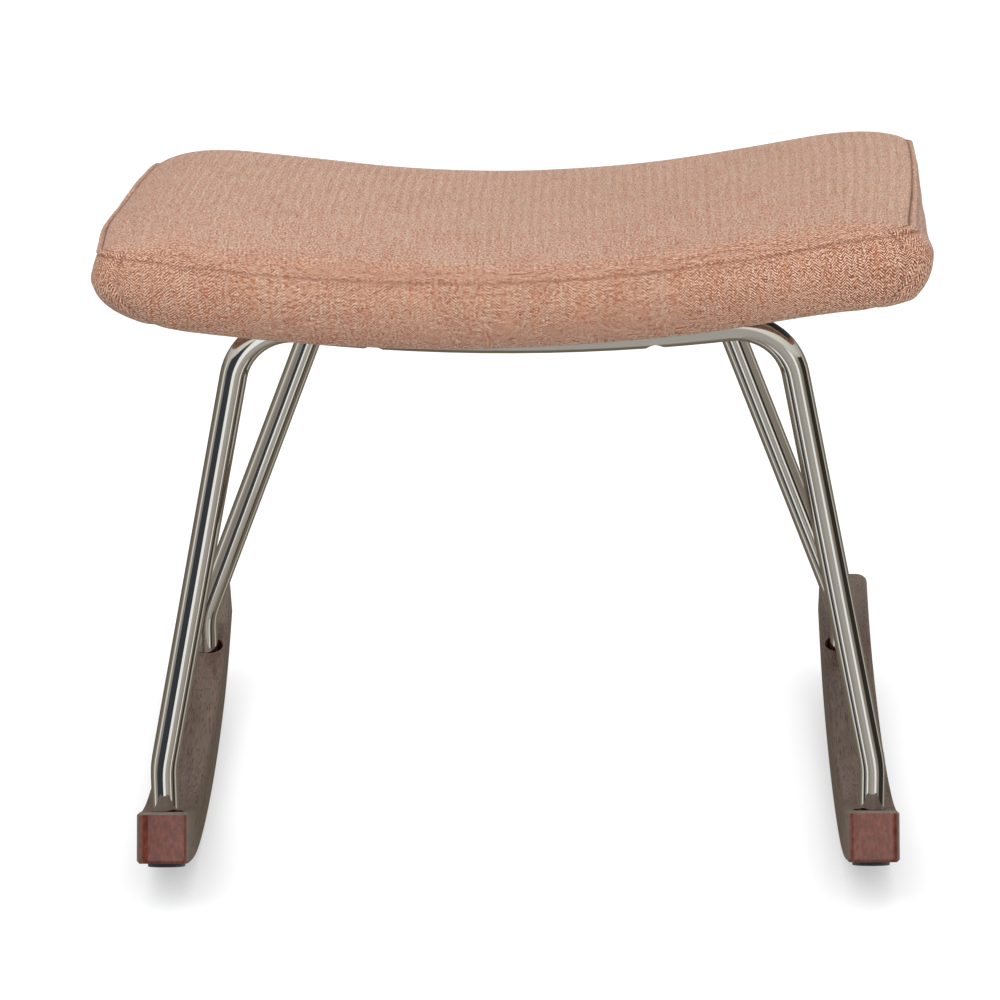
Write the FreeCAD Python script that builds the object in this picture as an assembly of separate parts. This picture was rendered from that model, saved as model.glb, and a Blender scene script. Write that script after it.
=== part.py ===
import FreeCAD, Part
import os
from math import asin, atan, cos, degrees, radians, sin, sqrt, tan

# Rocking footstool with a saddle-shaped upholstered seat on two bent tube frames and two timber rockers.
# Millimetres, +Z up, +Y to the back, +X to the sitter's right as seen from the front.
# The origin is on the floor, under the middle of the stool.

V = FreeCAD.Vector

# Rockers
rocker_gauge = 470.0           # between the centre planes of the two rockers
rocker_width = 35.0
rocker_thickness = 34.0
rocker_reach = 228.0           # from the origin to the lower edge of each end
balance_y = -7.0               # where the rockers rest on the floor
rocker_radius = 830.0          # underside, middle stretch
middle_reach = 120.0           # half the length of the middle stretch
tip_radius = 380.0             # underside, towards the ends
rest_flat = 24.0               # short flat planed at the balance point
end_round = 8.0                # upright edges of the ends
edge_break = 1.8               # chamfer of all other edges

# Tube frames
tube_diameter = 18.0
tube_wall = 1.5
front_y = -190.0
rear_y = 138.0
front_stub_x = rocker_gauge / 2
rear_stub_shift = 3.5          # how much nearer to the middle the rear stubs stand
rear_stub_x = front_stub_x - rear_stub_shift
front_bend_z = 92.0            # where the front leg leaves the upright stub
rear_bend_z = 72.0
front_leg_lean = 11.1          # degrees inwards from upright
rear_leg_lean = 20.85
front_bend_radius = 65.0
rear_bend_radius = 50.0
corner_radius = 39.0
front_bar_z = 389.3            # middle of the front top bar

# Joints of the frames to the rockers
mortise_clearance = 0.4
mortise_slack = 3.2            # extra length of the mortise towards the inside
mortise_floor = 8.0            # wood left between mortise and counterbore
counterbore_depth = 9.0
counterbore_diameter = 17.0
plug_length = 18.0
plug_clearance = 0.05

# Screws, all of one thread
thread_diameter = 6.0
thread_clearance = 0.02
shank_clearance = 0.3
head_diameter = 10.5
head_height = 3.3
socket_across_flats = 4.0
socket_depth = 2.0
rocker_bolt_length = 22.0
rocker_washer_diameter = 15.0
washer_thickness = 1.5
seat_bolt_length = 22.0
seat_bolt_x = 90.0
access_hole_diameter = 13.0    # in the tube's underside, for the seat screw's head and washer

# Seat
seat_tilt = 8.0                # degrees, down to the back
saddle_radius = 1250.0         # underside of the board, across the stool
seat_centre_y = -7.5
board_gap = 4.9                # from the bars up to the board
board_thickness = 11.0
board_corner = 45.0

# Upholstery, in heights above the board's underside
seam_height = 29.0
seam_half_width = 258.0
seam_half_depth = 219.0
side_padding = 12.0            # from the side seams in to the board's edge
front_padding = 14.0           # the same at the front and rear
front_bulge = 5.0              # how far the front and rear bands stand out past the seam
side_bulge = 11.0
bulge_height = 14.0
front_foot = 4.0               # drop below the board at which the front and rear bands turn under
side_foot = 5.5
roll_drop = 12.0               # how far the turned-in edge hangs below the board
roll_width = 21.0
roll_shoulder = 3.0            # from the seam's line in to the foot of the band
roll_lean = 7.0                # the same to the steep part of the roll
roll_share = 0.8               # of the roll's drop that lies there
crown_rise = 19.5              # of the top panel above its seam
crown_shoulder = 68.0          # length over which the crown falls to the side seams
crown_edge_angle = 55.0        # of the top panel where it leaves the front seam
crown_edge_radius = 30.0
corner_softness = 18.0         # rounding of the upright corners at their widest
cover_thickness = 1.8
cloth_gap = 0.3
hem_level = 0.4                # air between the board and the turned-in hem
hem_width = 30.0
lining_thickness = 0.8
lining_margin = 5.0
staple_length = 10.0
staple_width = 1.2
staple_height = 0.6
staple_sink = 0.03             # air between a staple and the lining
staple_start = 20.0            # from the middle to the first staple of the front and rear rows
staple_pitch = 35.0            # in the front and rear rows
side_staple_pitch = 40.0
staple_edge = 4.0              # from the staples' middles to the lining's edge

# Board fittings
nut_flange_diameter = 19.0
nut_flange_thickness = 1.5
nut_barrel_diameter = 8.0
nut_barrel_length = 10.0
nut_clearance = 0.1
saddle_length = 30.0
saddle_width = 18.0
saddle_crown = 1.3             # plastic above the tube's highest line
bed_clearance = 0.25           # between the tube and what is bedded on it
curved_washer_diameter = 11.0
curved_washer_rim = 0.9        # thickness at its thinnest sides

# Felt glides under the front tips
glide_diameter = 25.0
glide_thickness = 3.0
glide_y = -195.0
glue_line = 0.1

# Reach of shapes that only cut or trim others, in the level seat
cut_floor = -60.0
cut_ceiling = 120.0
cut_margin = 4.0

tube_radius = tube_diameter / 2
bore_radius = tube_radius - tube_wall
tilt = radians(seat_tilt)
shank_radius = thread_diameter / 2
hole_radius = shank_radius + shank_clearance
thread_hole_radius = shank_radius + thread_clearance
bar_drop = tube_radius + board_gap
rear_bar_z = front_bar_z - (rear_y - front_y) * tan(tilt)
bar_radius = (saddle_radius + bar_drop) * cos(tilt)
board_z = front_bar_z + bar_drop / cos(tilt) - (seat_centre_y - front_y) * tan(tilt)
hem_bottom = -(hem_level + cover_thickness)
lining_top = hem_bottom - cloth_gap
recess_half_width = seam_half_width - roll_width - 2 * cover_thickness
recess_half_depth = seam_half_depth - roll_width - 2 * cover_thickness
board_half_width = seam_half_width - side_padding
board_half_depth = seam_half_depth - front_padding
washer_bed_radius = bore_radius - bed_clearance
head_seat = sqrt(washer_bed_radius ** 2 - (curved_washer_diameter / 2) ** 2) - curved_washer_rim


# Rocker curves

def arc_centres(offset):
    """Centres and radii, in (distance behind the balance point, height), of the offset curve's two arcs."""
    turn = asin(middle_reach / rocker_radius)
    height = sqrt(rocker_radius ** 2 - (rest_flat / 2) ** 2)
    step = rocker_radius - tip_radius
    middle = (0.0, height, rocker_radius - offset)
    tip = (step * sin(turn), height - step * cos(turn), tip_radius - offset)
    return middle, tip, turn


def rocker_point(angle, offset, side):
    """A point of the curve whose normal leans by an angle, towards the front (-1) or back (1)."""
    middle, tip, turn = arc_centres(offset)
    centre = middle if angle <= turn else tip
    reach = centre[0] + centre[2] * sin(angle)
    return V(0, balance_y + side * reach, centre[1] - centre[2] * cos(angle))


def tip_angle(y, offset=0.0):
    """Lean of the curve's normal at a depth near one of the ends."""
    tip = arc_centres(offset)[1]
    return asin((abs(y - balance_y) - tip[0]) / tip[2])


def underside_z(y):
    return rocker_point(tip_angle(y), 0.0, 1)[2]


def seat_of_head(y):
    """Height of the counterbore's end face, where the washer bears."""
    return underside_z(y) + counterbore_depth


def mortise_z(y):
    return seat_of_head(y) + mortise_floor


# Small helpers

def cylinder(radius, height, base=V(0, 0, 0), axis=V(0, 0, 1)):
    return Part.makeCylinder(radius, height, base, axis)


def arc(start, through, end):
    return Part.Arc(start, through, end).toShape()


def line(start, end):
    return Part.makeLine(start, end)


def mirrored(shape):
    return shape.mirror(V(0, 0, 0), V(1, 0, 0))


def rounded_slab(half_x, half_y, radius, low, high):
    """An upright prism on a rectangle with rounded corners."""
    block = Part.makeBox(2 * half_x, 2 * half_y, high - low, V(-half_x, -half_y, low))
    upright = [e for e in block.Edges if abs(e.tangentAt(e.FirstParameter)[2]) > 0.5]
    return block.makeFillet(radius, upright)


def button_screw(length):
    """A socket screw with its shank up along Z and the underside of its head at the origin."""
    head = cylinder(head_diameter / 2, head_height, V(0, 0, -head_height))
    rim = [e for e in head.Edges if e.BoundBox.ZMax < -head_height / 2]
    head = head.makeChamfer(head_height / 3, rim)
    flat = socket_across_flats / 2
    corners = [V(flat / cos(radians(30)) * cos(radians(60 * k)), flat / cos(radians(30)) * sin(radians(60 * k)),
                 -head_height) for k in range(7)]
    socket = Part.Face(Part.makePolygon(corners)).extrude(V(0, 0, socket_depth))
    return head.cut(socket).fuse(cylinder(shank_radius, length)).removeSplitter()


# Rockers

def rocker_blank():
    """The bent lath, centred on X = 0: two concentric curves, square ends and broken edges."""
    front_end = tip_angle(-rocker_reach)
    rear_end = tip_angle(rocker_reach)
    turn = arc_centres(0.0)[2]
    edges = []
    for offset in (0.0, rocker_thickness):
        front = rocker_point(front_end, offset, -1)
        rear = rocker_point(rear_end, offset, 1)
        front_join = rocker_point(turn, offset, -1)
        rear_join = rocker_point(turn, offset, 1)
        edges.append(arc(front, rocker_point((front_end + turn) / 2, offset, -1), front_join))
        edges.append(arc(front_join, rocker_point(0.0, offset, 1), rear_join))
        edges.append(arc(rear_join, rocker_point((rear_end + turn) / 2, offset, 1), rear))
    for angle, side in ((front_end, -1), (rear_end, 1)):
        edges.append(line(rocker_point(angle, 0.0, side), rocker_point(angle, rocker_thickness, side)))
    face = Part.Face(Part.Wire(Part.__sortEdges__(edges)))
    lath = face.extrude(V(rocker_width, 0, 0))
    lath.translate(V(-rocker_width / 2, 0, 0))
    reach = rocker_reach - rocker_thickness
    upright = [e for e in lath.Edges
               if e.BoundBox.XLength < 0.01 and abs(e.CenterOfMass[1]) > reach and e.Length < 2 * rocker_thickness]
    lath = lath.makeFillet(end_round, upright)
    rims = [e for e in lath.Edges if e.BoundBox.XLength > 0.01 or e.Length > rocker_thickness + 1.0]
    lath = lath.makeChamfer(edge_break, rims)
    under = Part.makeBox(2 * rocker_width, 4 * middle_reach, rocker_thickness,
                         V(-rocker_width, balance_y - 2 * middle_reach, -rocker_thickness))
    return lath.cut(under)


def rocker_left():
    """The left rocker: mortises for the stubs from above, counterbores for the screws from below."""
    lath = rocker_blank()
    lath.translate(V(-rocker_gauge / 2, 0, 0))
    radius = tube_radius + mortise_clearance
    for y, stub_x in ((front_y, front_stub_x), (rear_y, rear_stub_x)):
        floor = mortise_z(y)
        for shift in (0.0, mortise_slack):
            lath = lath.cut(cylinder(radius, 3 * rocker_thickness, V(shift - stub_x, y, floor)))
        slot = Part.makeBox(mortise_slack, 2 * radius, 3 * rocker_thickness, V(-stub_x, y - radius, floor))
        lath = lath.cut(slot)
        bore = cylinder(counterbore_diameter / 2, 2 * rocker_thickness,
                        V(-stub_x, y, seat_of_head(y) - 2 * rocker_thickness))
        hole = cylinder(hole_radius, 2 * rocker_thickness, V(-stub_x, y, floor - rocker_thickness))
        lath = lath.cut(bore).cut(hole)
    return lath


def glide_left():
    """A felt disc that follows the underside of the tip, over the front counterbore."""
    angle = tip_angle(glide_y)
    tip = arc_centres(0.0)[1]
    centre = V(-front_stub_x, balance_y - tip[0], tip[1])
    outer = cylinder(tip_radius + glue_line + glide_thickness, rocker_width,
                     centre - V(rocker_width / 2, 0, 0), V(1, 0, 0))
    inner = cylinder(tip_radius + glue_line, rocker_width, centre - V(rocker_width / 2, 0, 0), V(1, 0, 0))
    out = V(0, -sin(angle), -cos(angle))
    start = centre + out * (tip_radius - glide_thickness)
    disc = cylinder(glide_diameter / 2, 4 * glide_thickness, start, out)
    return disc.common(outer).cut(inner)


# Tube frames

def u_path(y, stub_x, bend_z, lean, bend_radius, bar_z):
    """The centre line of one frame: stub, bend, leg, corner, saddle bar and the same down again."""
    half_turn = radians(lean) / 2
    up = V(-sin(2 * half_turn), 0, cos(2 * half_turn))
    inwards = V(-cos(2 * half_turn), 0, -sin(2 * half_turn))
    knee = V(stub_x, y, bend_z)
    short = bend_radius * tan(half_turn)
    foot = V(stub_x, y, mortise_z(y))
    bend_start = knee - V(0, 0, short)
    bend_centre = bend_start - V(bend_radius, 0, 0)
    bend_middle = bend_centre + V(cos(half_turn), 0, sin(half_turn)) * bend_radius
    bend_end = knee + up * short
    bar_centre = V(0, y, bar_z + bar_radius)
    aim = knee + inwards * corner_radius - bar_centre
    along = aim.dot(up)
    rise = -along - sqrt(along ** 2 - aim.dot(aim) + (bar_radius + corner_radius) ** 2)
    corner = knee + inwards * corner_radius + up * rise
    leg_end = corner - inwards * corner_radius
    to_bar = (bar_centre - corner).normalize()
    bar_end = corner + to_bar * corner_radius
    corner_middle = corner + (to_bar - inwards).normalize() * corner_radius
    right = [line(foot, bend_start), arc(bend_start, bend_middle, bend_end), line(bend_end, leg_end),
             arc(leg_end, corner_middle, bar_end)]
    left = [mirrored(e) for e in right]
    bar = arc(bar_end, V(0, y, bar_z), V(-bar_end[0], y, bar_end[2]))
    return Part.Wire(Part.__sortEdges__(right + [bar] + left)), foot


def u_solid(frame, radius):
    """A round bar of a given radius bent along a frame's centre line."""
    path, foot = u_path(*frame)
    ring = Part.Wire(Part.makeCircle(radius, foot, V(0, 0, 1)))
    return path.makePipeShell([ring], True, False)


front = (front_y, front_stub_x, front_bend_z, front_leg_lean, front_bend_radius, front_bar_z)
rear = (rear_y, rear_stub_x, rear_bend_z, rear_leg_lean, rear_bend_radius, rear_bar_z)


def frame_tube(frame, solid):
    """The bent tube, hollow, with a hole through the bar's top for each seat screw and one below to reach it."""
    tube = solid.cut(u_solid(frame, bore_radius))
    hole = cylinder(hole_radius, tube_diameter)
    access = cylinder(access_hole_diameter / 2, tube_diameter, V(0, 0, -tube_diameter))
    for side in (-1, 1):
        tube = tube.cut(at_seat_bolt(hole, frame, side)).cut(at_seat_bolt(access, frame, side))
    return tube


def at_stubs(shape, height):
    """Copies of a shape on the axes of the four stubs, at a height found from the stub's depth."""
    copies = []
    for y, stub_x in ((front_y, front_stub_x), (rear_y, rear_stub_x)):
        for side in (-1, 1):
            copy = shape.copy()
            copy.translate(V(side * stub_x, y, height(y)))
            copies.append(copy)
    return Part.makeCompound(copies)


def stub_plugs():
    radius = bore_radius - plug_clearance
    plug = cylinder(radius, plug_length)
    return at_stubs(plug.cut(cylinder(thread_hole_radius, plug_length)), mortise_z)


def rocker_bolts():
    return at_stubs(button_screw(rocker_bolt_length), lambda y: seat_of_head(y) - washer_thickness)


def rocker_washers():
    disc = cylinder(rocker_washer_diameter / 2, washer_thickness)
    ring = disc.cut(cylinder(hole_radius, washer_thickness))
    return at_stubs(ring, lambda y: seat_of_head(y) - washer_thickness)


# The seat is built level, with X across, Y in depth and Z = 0 at the lowest line of the board's underside.
# It is then tilted and set on the bars.

def set_seat(shape):
    placed = shape.copy()
    placed.rotate(V(0, 0, 0), V(1, 0, 0), -seat_tilt)
    placed.translate(V(0, seat_centre_y, board_z))
    return placed


def seat_point(point):
    """A point of the stool in the level seat's own axes."""
    local = point - V(0, seat_centre_y, board_z)
    return V(local[0], local[1] * cos(tilt) - local[2] * sin(tilt), local[1] * sin(tilt) + local[2] * cos(tilt))


def level(height, x):
    """Height at X of the saddle surface that has a given height in the middle."""
    return saddle_radius - sqrt((saddle_radius - height) ** 2 - x ** 2)


def saddle_sweep(face, half_width):
    """A section in the YZ plane, swung about the saddle's axis until it reaches a half width on each side."""
    half_angle = degrees(asin(half_width / (saddle_radius - seam_height - crown_rise)))
    start = face.copy()
    start.rotate(V(0, 0, saddle_radius), V(0, 1, 0), -half_angle)
    return start.revolve(V(0, 0, saddle_radius), V(0, 1, 0), 2 * half_angle)


def saddle_slab(half_width, half_depth, low, high):
    """A plate that follows the saddle between two heights."""
    corners = [V(0, -half_depth, low), V(0, half_depth, low), V(0, half_depth, high), V(0, -half_depth, high),
               V(0, -half_depth, low)]
    return saddle_sweep(Part.Face(Part.makePolygon(corners)), half_width)


def saddle_sheet(half_width, half_depth, corner, low, high):
    """The same with a rounded rectangle for its outline."""
    slab = saddle_slab(half_width + cut_margin, half_depth + cut_margin, low, high)
    return slab.common(rounded_slab(half_width, half_depth, corner, cut_floor, cut_ceiling))


def at_seat_bolt(shape, frame, side, tilted=True):
    """A shape whose Z axis is a seat screw's and whose origin is on the bar's centre line."""
    y, bar_z = frame[0], frame[5]
    x = side * seat_bolt_x
    on_bar = V(x, y, bar_z + bar_radius - sqrt(bar_radius ** 2 - x ** 2))
    local = seat_point(on_bar)
    placed = shape.copy()
    placed.rotate(V(0, 0, 0), V(0, 1, 0), -degrees(atan(local[0] / (saddle_radius - local[2]))))
    placed.translate(local)
    return set_seat(placed) if tilted else placed


def at_seat_bolts(shape, tilted=True):
    return Part.makeCompound([at_seat_bolt(shape, frame, side, tilted) for frame in (front, rear)
                              for side in (-1, 1)])


def drilled(shape, radius, low, high):
    """A level seat piece with the four screw holes, between two heights above the board's underside."""
    drill = cylinder(radius, high - low, V(0, 0, bar_drop + low))
    return shape.cut(at_seat_bolts(drill, False))


def seat_board():
    board = saddle_sheet(board_half_width, board_half_depth, board_corner, 0.0, board_thickness)
    board = drilled(board, nut_barrel_diameter / 2 + nut_clearance, -5.0, board_thickness + 5.0)
    return set_seat(board)


def t_nuts():
    """Prong nuts: a flange on the board, a barrel in its hole and the thread through both."""
    top = bar_drop + board_thickness + nut_clearance
    flange = cylinder(nut_flange_diameter / 2, nut_flange_thickness, V(0, 0, top))
    barrel = cylinder(nut_barrel_diameter / 2, nut_barrel_length, V(0, 0, top - nut_barrel_length))
    length = nut_barrel_length + nut_flange_thickness
    thread = cylinder(thread_hole_radius, length, V(0, 0, top - nut_barrel_length))
    return at_seat_bolts(flange.fuse(barrel).cut(thread).removeSplitter())


def bar_saddles():
    """Plastic saddles with the tube's own hollow, between each bar and the lining."""
    top = tube_radius + saddle_crown
    block = Part.makeBox(saddle_length, saddle_width, top - tube_radius / 2,
                         V(-saddle_length / 2, -saddle_width / 2, tube_radius / 2))
    bed = cylinder(tube_radius + bed_clearance, saddle_length, V(-saddle_length / 2, 0, 0), V(1, 0, 0))
    return at_seat_bolts(block.cut(bed).cut(cylinder(hole_radius, top)))


def curved_washers():
    """Washers in the bars: round on top to fit the bore, flat below for the screw's head."""
    disc = cylinder(curved_washer_diameter / 2, tube_radius, V(0, 0, head_seat))
    bed = cylinder(washer_bed_radius, 2 * tube_diameter, V(-tube_diameter, 0, 0), V(1, 0, 0))
    return at_seat_bolts(disc.common(bed).cut(cylinder(hole_radius, tube_diameter)))


def seat_bolts():
    """Screws whose heads bear inside the bars, so that nothing shows below them."""
    screw = button_screw(seat_bolt_length)
    screw.translate(V(0, 0, head_seat))
    return at_seat_bolts(screw)


# Upholstery

def crown_curve(span, rise, radius):
    """Half a crown as two tangent arcs: five points from its edge to its top, as (way in, way up)."""
    steep = radians(crown_edge_angle)
    low, high = 0.0, steep
    halvings = 50
    for _ in range(halvings):
        flat = (low + high) / 2
        reach = span - radius * (sin(steep) - sin(flat))
        if radius * (cos(flat) - cos(steep)) + reach * tan(flat / 2) > rise:
            high = flat
        else:
            low = flat
    middle = (steep + flat) / 2
    wide = reach / sin(flat)
    return [(0.0, 0.0), (radius * (sin(steep) - sin(middle)), radius * (cos(middle) - cos(steep))),
            (span - reach, radius * (cos(flat) - cos(steep))),
            (span - wide * sin(flat / 2), rise - wide * (1 - cos(flat / 2))), (span, rise)]


def wall_curve(half, bulge, foot, inset, spare):
    """Half of a band's section, out and up: seam, widest point, foot, roll and the roll's lowest line."""
    return [(half - inset, seam_height), (half + bulge - inset, bulge_height),
            (half - roll_shoulder - inset, -foot), (half - roll_lean - inset, -roll_drop * roll_share + inset),
            (half - roll_width / 2, -roll_drop + inset - spare)]


def depth_section(inset):
    """The cushion's section from front to back: crown, bulging bands and the roll under the edge."""
    half = seam_half_depth - inset
    wall = wall_curve(seam_half_depth, front_bulge, front_foot, inset, 0.0)
    crown = crown_curve(half, crown_rise - inset, crown_edge_radius - inset)
    edges = []
    for sign in (-1, 1):
        w = [V(0, sign * a, b) for a, b in wall]
        c = [V(0, sign * (half - a), seam_height + b) for a, b in crown]
        edges += [arc(w[0], w[1], w[2]), arc(w[2], w[3], w[4]), arc(c[0], c[1], c[2]), arc(c[2], c[3], c[4])]
    low = wall[4]
    edges.append(line(V(0, -low[0], low[1]), V(0, low[0], low[1])))
    return Part.Face(Part.Wire(Part.__sortEdges__(edges)))


def width_section(inset, y):
    """The section across the stool, which trims the one in depth at the two sides and stands clear elsewhere."""
    half = seam_half_width - inset
    spare = 2.0
    over = 0.6
    wall = wall_curve(seam_half_width, side_bulge, side_foot, inset, spare)
    crown = crown_curve(crown_shoulder, crown_rise - inset + over, crown_edge_radius - inset)
    top = V(0, y, seam_height + crown[4][1])
    bottom = V(0, y, -roll_drop - 4 * spare)
    edges = []
    ends = []
    for sign in (-1, 1):
        w = [V(sign * a, y, level(b, a)) for a, b in wall]
        c = [V(sign * (half - a), y, level(seam_height + b, half - a)) for a, b in crown]
        low = w[4] - V(0, 0, 3 * spare)
        edges += [arc(w[0], w[1], w[2]), arc(w[2], w[3], w[4]), line(w[4], low)]
        edges += [arc(c[0], c[1], c[2]), arc(c[2], c[3], c[4])]
        ends.append((low, c[4]))
    edges += [arc(ends[0][0], bottom, ends[1][0]), arc(ends[0][1], top, ends[1][1])]
    return Part.Face(Part.Wire(Part.__sortEdges__(edges)))


def cushion_body(inset):
    """The whole cushion: its section in depth swung along the saddle, trimmed by the section across."""
    body = saddle_sweep(depth_section(inset), seam_half_width + side_bulge + cut_margin)
    deep = seam_half_depth + front_bulge + cut_margin
    body = body.common(width_section(inset, -deep).extrude(V(0, 2 * deep, 0)))
    soft = rounded_slab(seam_half_width + side_bulge + 1.0 - inset, seam_half_depth + front_bulge + 1.0 - inset,
                        corner_softness - inset, cut_floor, cut_ceiling)
    return body.common(soft)


def recess(inset):
    """The hollow of the underside, inside the roll, up to the turned-in hem."""
    return saddle_sheet(recess_half_width + inset, recess_half_depth + inset, board_corner / 2,
                        -3 * roll_drop, hem_bottom + inset)


def seat_foam():
    inset = cover_thickness + cloth_gap
    pocket = saddle_sheet(board_half_width + cloth_gap, board_half_depth + cloth_gap, board_corner,
                          -3 * roll_drop, board_thickness + cloth_gap)
    foam = cushion_body(inset).cut(pocket)
    foam = drilled(foam, nut_flange_diameter / 2 + cloth_gap, board_thickness,
                   board_thickness + nut_flange_thickness + cloth_gap)
    return set_seat(foam)


def cover_skin():
    """The whole cover as one skin, open under the board."""
    skin = cushion_body(0.0).cut(recess(0.0))
    return skin.cut(cushion_body(cover_thickness).cut(recess(cover_thickness)))


def below_seam(height):
    return saddle_slab(seam_half_width + side_bulge + 1.0, seam_half_depth + front_bulge + 1.0, cut_floor / 2, height)


def band_ring(skin):
    """All four bands in one: the cover's lower part with its turned-in hem."""
    ring = skin.common(below_seam(seam_height))
    window = rounded_slab(recess_half_width - hem_width, recess_half_depth - hem_width, 10.0, cut_floor, cut_ceiling)
    return drilled(ring.cut(window), hole_radius, -2 * roll_drop, 0.0)


def wedge(side):
    """Plan of one band's quarter, bounded by the mitres through the cushion's corners."""
    far = seam_half_width
    tip = seam_half_width - seam_half_depth
    half = cloth_gap / 2 * sqrt(2)
    if side in ("front", "rear"):
        sign = -1 if side == "front" else 1
        corners = [(-tip, sign * half), (tip, sign * half), (tip + far, sign * (far + half)),
                   (-tip - far, sign * (far + half))]
    else:
        sign = -1 if side == "left" else 1
        corners = [(sign * (tip + half), 0.0), (sign * (tip + half + far), far), (sign * (tip + half + far), -far)]
    points = [V(x, y, cut_floor) for x, y in corners]
    return Part.Face(Part.makePolygon(points + points[:1])).extrude(V(0, 0, cut_ceiling - cut_floor))


def dust_lining():
    sheet = saddle_sheet(recess_half_width - lining_margin, recess_half_depth - lining_margin, board_corner / 2,
                         lining_top - lining_thickness, lining_top)
    return set_seat(drilled(sheet, hole_radius, -2 * roll_drop, 0.0))


def staple_places(half_x, half_y):
    """Where the staples lie, as (x, y, whether along X), with room left for the bar saddles."""
    places = []
    reach = half_x - board_corner / 2
    across = [staple_start + staple_pitch * k for k in range(int((reach - staple_start) / staple_pitch) + 1)]
    for x in across:
        if abs(x - seat_bolt_x) > saddle_length / 2 + staple_length:
            places += [(side_x * x, side_y * half_y, True) for side_x in (-1, 1) for side_y in (-1, 1)]
    last = int((half_y - board_corner / 2) / side_staple_pitch)
    for k in range(-last, last + 1):
        places += [(side * half_x, side_staple_pitch * k, False) for side in (-1, 1)]
    return places


def staples():
    """Crowns of the staples along the lining's edge."""
    half_x = recess_half_width - lining_margin - staple_edge
    half_y = recess_half_depth - lining_margin - staple_edge
    top = lining_top - lining_thickness
    placed = []
    for x, y, along_x in staple_places(half_x, half_y):
        long, wide = (staple_length, staple_width) if along_x else (staple_width, staple_length)
        crown = Part.makeBox(long, wide, staple_height, V(-long / 2, y - wide / 2, top - staple_sink - staple_height))
        angle = degrees(asin(x / (saddle_radius - top)))
        crown.rotate(V(0, 0, saddle_radius), V(0, 1, 0), -angle)
        placed.append(set_seat(crown))
    return Part.makeCompound(placed)


def save(name, shape):
    shape.exportStep("parts/" + name + ".step")
    print(name, len(shape.Solids), "solids,", round(shape.Volume), "mm3, valid", shape.isValid())


os.makedirs("parts", exist_ok=True)
front_solid = u_solid(front, tube_radius)
rear_solid = u_solid(rear, tube_radius)
left = rocker_left()
glide = glide_left()
save("rocker_left", left)
save("rocker_right", mirrored(left))
save("glide_left", glide)
save("glide_right", mirrored(glide))
save("front_frame", frame_tube(front, front_solid))
save("rear_frame", frame_tube(rear, rear_solid))
save("stub_plugs", stub_plugs())
save("rocker_bolts", rocker_bolts())
save("rocker_washers", rocker_washers())
save("seat_board", seat_board())
save("t_nuts", t_nuts())
save("bar_saddles", bar_saddles())
save("curved_washers", curved_washers())
save("seat_bolts", seat_bolts())
save("seat_foam", seat_foam())
skin = cover_skin()
save("cover_top_panel", set_seat(skin.cut(below_seam(seam_height + cloth_gap))))
ring = band_ring(skin)
for side in ("front", "rear", "left", "right"):
    save("cover_" + side + "_band", set_seat(ring.common(wedge(side))))
save("dust_lining", dust_lining())
save("staples", staples())
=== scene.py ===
from bisect import bisect
from math import atan2, copysign, cos, exp, hypot, pi, radians, sin, sqrt

import bmesh
import bpy
from mathutils import Matrix, Quaternion, Vector, noise
from mathutils.kdtree import KDTree


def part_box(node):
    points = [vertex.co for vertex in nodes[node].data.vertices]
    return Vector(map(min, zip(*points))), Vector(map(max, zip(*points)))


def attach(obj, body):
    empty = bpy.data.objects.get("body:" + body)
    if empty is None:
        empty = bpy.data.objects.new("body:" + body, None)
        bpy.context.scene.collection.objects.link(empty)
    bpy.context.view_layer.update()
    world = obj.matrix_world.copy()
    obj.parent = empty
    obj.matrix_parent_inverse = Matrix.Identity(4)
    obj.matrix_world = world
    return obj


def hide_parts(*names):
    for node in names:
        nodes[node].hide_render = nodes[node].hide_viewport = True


# Looks of a rocking footstool: woven cover with its seams, chromed tube, stained timber rockers and fittings.
# The scene is in metres, in the frame's own axes. The stool's sizes are named in millimetres, and MM turns
# them into metres.

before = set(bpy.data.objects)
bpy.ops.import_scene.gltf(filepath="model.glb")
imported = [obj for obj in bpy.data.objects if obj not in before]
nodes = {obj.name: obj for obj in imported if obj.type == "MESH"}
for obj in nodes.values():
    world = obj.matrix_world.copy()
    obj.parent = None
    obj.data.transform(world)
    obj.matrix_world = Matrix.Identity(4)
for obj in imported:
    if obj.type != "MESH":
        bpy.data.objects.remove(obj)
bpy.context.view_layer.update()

MM = 0.001

# The seat as the frame carries it
seat_tilt = radians(8.0)
saddle_radius = 1250.0
board_half_depth = 205.0

# Cushion, in heights above the board's underside
seam_half_width = 258.0
seam_half_depth = 215.2
front_corner = 17.0            # rounding of the top panel's front corners
rear_corner = 28.0
side_seam_height = 29.0
crown_height = 19.5            # of the middle above the side seams
front_seam_share = 0.28        # of that height which the front and rear seams already have
roll_share = 0.34              # of that height which the panel gains as it rolls in from those seams
roll_length = 14.0
crown_shoulder = 68.0          # length over which the crown falls to the side seams
shoulder_power = 2.4           # how full that shoulder is
first_cuts = 55                # cuts along each edge of the cushion's cube, each span then halved
grid_crowding = 1.8            # how strongly rows crowd towards the seams
on_face = 0.9999               # past this, a point of the cube lies on its face

# Band sections from the seam down and under, as (way out, height, rounding of the corners)
front_section = [(0.0, 34.5, 1.0), (3.8, 29.0, 1.1), (8.6, 14.0, 1.3), (6.5, 0.0, 1.3), (0.0, -10.0, 1.2),
                 (-8.0, -15.0, 1.1), (-14.0, -11.0, 1.0), (-17.2, -2.2, 1.0)]
side_section = [(0.0, 29.0, 1.0), (4.2, 23.5, 1.1), (11.0, 10.0, 1.3), (9.0, -3.0, 1.3), (1.0, -11.5, 1.2),
                (-9.0, -14.0, 1.1), (-17.0, -10.5, 1.0), (-21.0, -2.2, 1.0)]

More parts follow.
